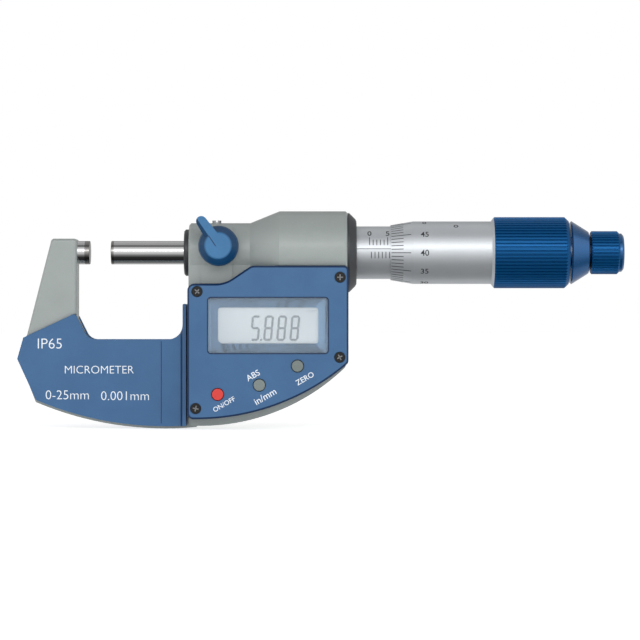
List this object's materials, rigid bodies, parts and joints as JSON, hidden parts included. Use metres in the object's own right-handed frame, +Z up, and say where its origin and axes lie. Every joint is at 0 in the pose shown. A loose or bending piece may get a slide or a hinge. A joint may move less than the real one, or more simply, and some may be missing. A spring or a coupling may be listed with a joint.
{
  "type": "outside micrometer",
  "caption": "Hand-held electronic outside micrometer: bow frame with anvil, screw spindle with ratchet thimble and lock, and a display module with push buttons.",
  "frame": {"origin": "centre of the anvil's measuring face", "axes": "+X along the spindle away from the anvil, +Z up, the display faces -Y"},
  "size_m": [0.1677, 0.0271, 0.0602],
  "materials": {
    "grey_enamel": "smooth grey stoving enamel",
    "polished_steel": "ground and lapped",
    "carbide": "lapped hard metal",
    "blue_plastic": "fine moulded texture",
    "black_plastic": "fine moulded texture",
    "rubber_seal": "moulded",
    "plain_steel": "turned",
    "satin_chrome": "satin chrome plate",
    "board_laminate": "lacquered laminate",
    "clear_window": "hard coated",
    "window_print": "printed",
    "lcd_glass": "liquid crystal panel",
    "black_screw": "black oxide",
    "cell_steel": "nickel plated",
    "brass_contact": "plated",
    "blue_grip": "anodised, ribbed",
    "blue_anodised": "anodised, bright",
    "blue_knob": "moulded",
    "red_button": "moulded",
    "grey_button": "moulded"
  },
  "bodies": {
    "frame": {"frame": "grey_enamel", "anvil": "polished_steel", "anvil_tip": "carbide", "front_insulating_plate": "blue_plastic", "rear_insulating_plate": "blue_plastic", "spindle_seal_collar": "black_plastic", "spindle_o_ring": "rubber_seal", "spindle_bushing": "plain_steel", "bushing_set_screw": "plain_steel", "end_ring": "black_plastic", "inner_sleeve": "plain_steel", "outer_sleeve": "satin_chrome", "adjusting_nut": "plain_steel", "encoder_stator": "board_laminate", "rotor_retainer": "plain_steel", "display_cover": "blue_plastic", "display_window": "clear_window", "window_mask": "window_print", "lcd_panel": "lcd_glass", "contact_strips": "rubber_seal", "circuit_board": "board_laminate", "dome_switches": "plain_steel", "keypad": "rubber_seal", "cover_gasket": "rubber_seal", "cover_screws": "black_screw", "battery_cell": "cell_steel", "battery_contacts": "brass_contact"},
    "encoder_rotor": {"encoder_rotor": "board_laminate", "rotor_bush": "brass_contact", "rotor_key": "plain_steel"},
    "spindle": {"spindle": "polished_steel", "spindle_tip": "carbide", "thimble": "satin_chrome", "thimble_grip": "blue_grip", "thimble_cone": "blue_anodised", "ratchet_base": "plain_steel", "ratchet_screw": "plain_steel"},
    "ratchet_knob": {"ratchet_knob": "blue_grip", "ratchet_cap": "blue_anodised", "ratchet_spring": "plain_steel"},
    "ratchet_disc": {"ratchet_disc": "plain_steel"},
    "lock_shoe": {"lock_shoe": "brass_contact"},
    "lock_lever": {"lock_screw": "plain_steel", "lock_knob": "blue_knob"},
    "power_button": {"power_button": "red_button"},
    "unit_button": {"unit_button": "grey_button"},
    "zero_button": {"zero_button": "grey_button"},
    "battery_cap_seal": {"battery_cap_o_ring": "rubber_seal"},
    "battery_cap": {"battery_cap": "black_plastic"}
  },
  "joints": [
    {"name": "thimble_turn", "type": "hinge", "parent": "frame", "child": "encoder_rotor", "pos_m": [0.056, 0, 0], "axis": [1, 0, 0], "range_deg": [-4239.6, 13760.8]},
    {"name": "spindle_advance", "type": "slide", "parent": "encoder_rotor", "child": "spindle", "axis": [1, 0, 0], "range_m": [-0.00589, 0.01911]},
    {"name": "ratchet_turn", "type": "hinge", "parent": "spindle", "child": "ratchet_knob", "pos_m": [0.1428, 0, 0], "axis": [1, 0, 0], "continuous": true},
    {"name": "ratchet_click", "type": "slide", "parent": "ratchet_knob", "child": "ratchet_disc", "axis": [1, 0, 0], "range_m": [0, 0.0007], "stiffness_N_per_m": 700, "springref_m": -0.002, "deforming": ["ratchet_spring"]},
    {"name": "lock_shoe_press", "type": "slide", "parent": "frame", "child": "lock_shoe", "axis": [0, 1, 0], "range_m": [0, 0.00011667]},
    {"name": "lock_turn", "type": "hinge", "parent": "lock_shoe", "child": "lock_lever", "pos_m": [0.036, -0.012, 0.0016], "axis": [0, 1, 0], "range_deg": [0, 60.1]},
    {"name": "power_button_press", "type": "slide", "parent": "frame", "child": "power_button", "axis": [0, 1, 0], "range_m": [0, 0.0004], "stiffness_N_per_m": 500, "springref_m": -0.0004},
    {"name": "unit_button_press", "type": "slide", "parent": "frame", "child": "unit_button", "axis": [0, 1, 0], "range_m": [0, 0.0004], "stiffness_N_per_m": 500, "springref_m": -0.0004},
    {"name": "zero_button_press", "type": "slide", "parent": "frame", "child": "zero_button", "axis": [0, 1, 0], "range_m": [0, 0.0004], "stiffness_N_per_m": 500, "springref_m": -0.0004},
    {"name": "battery_cap_lift", "type": "slide", "parent": "frame", "child": "battery_cap_seal", "axis": [0, 1, 0], "range_m": [0, 0.003]},
    {"name": "battery_cap_turn", "type": "hinge", "parent": "battery_cap_seal", "child": "battery_cap", "pos_m": [0.0496, 0.008, -0.028], "axis": [0, 1, 0], "range_deg": [0, 1080.5]}
  ],
  "couplings": [
    {"joint": "thimble_turn", "follows": "spindle_advance", "rad_per_m": 12566},
    {"joint": "lock_turn", "follows": "lock_shoe_press", "rad_per_m": 8976},
    {"joint": "battery_cap_turn", "follows": "battery_cap_lift", "rad_per_m": 6283.2}
  ]
}
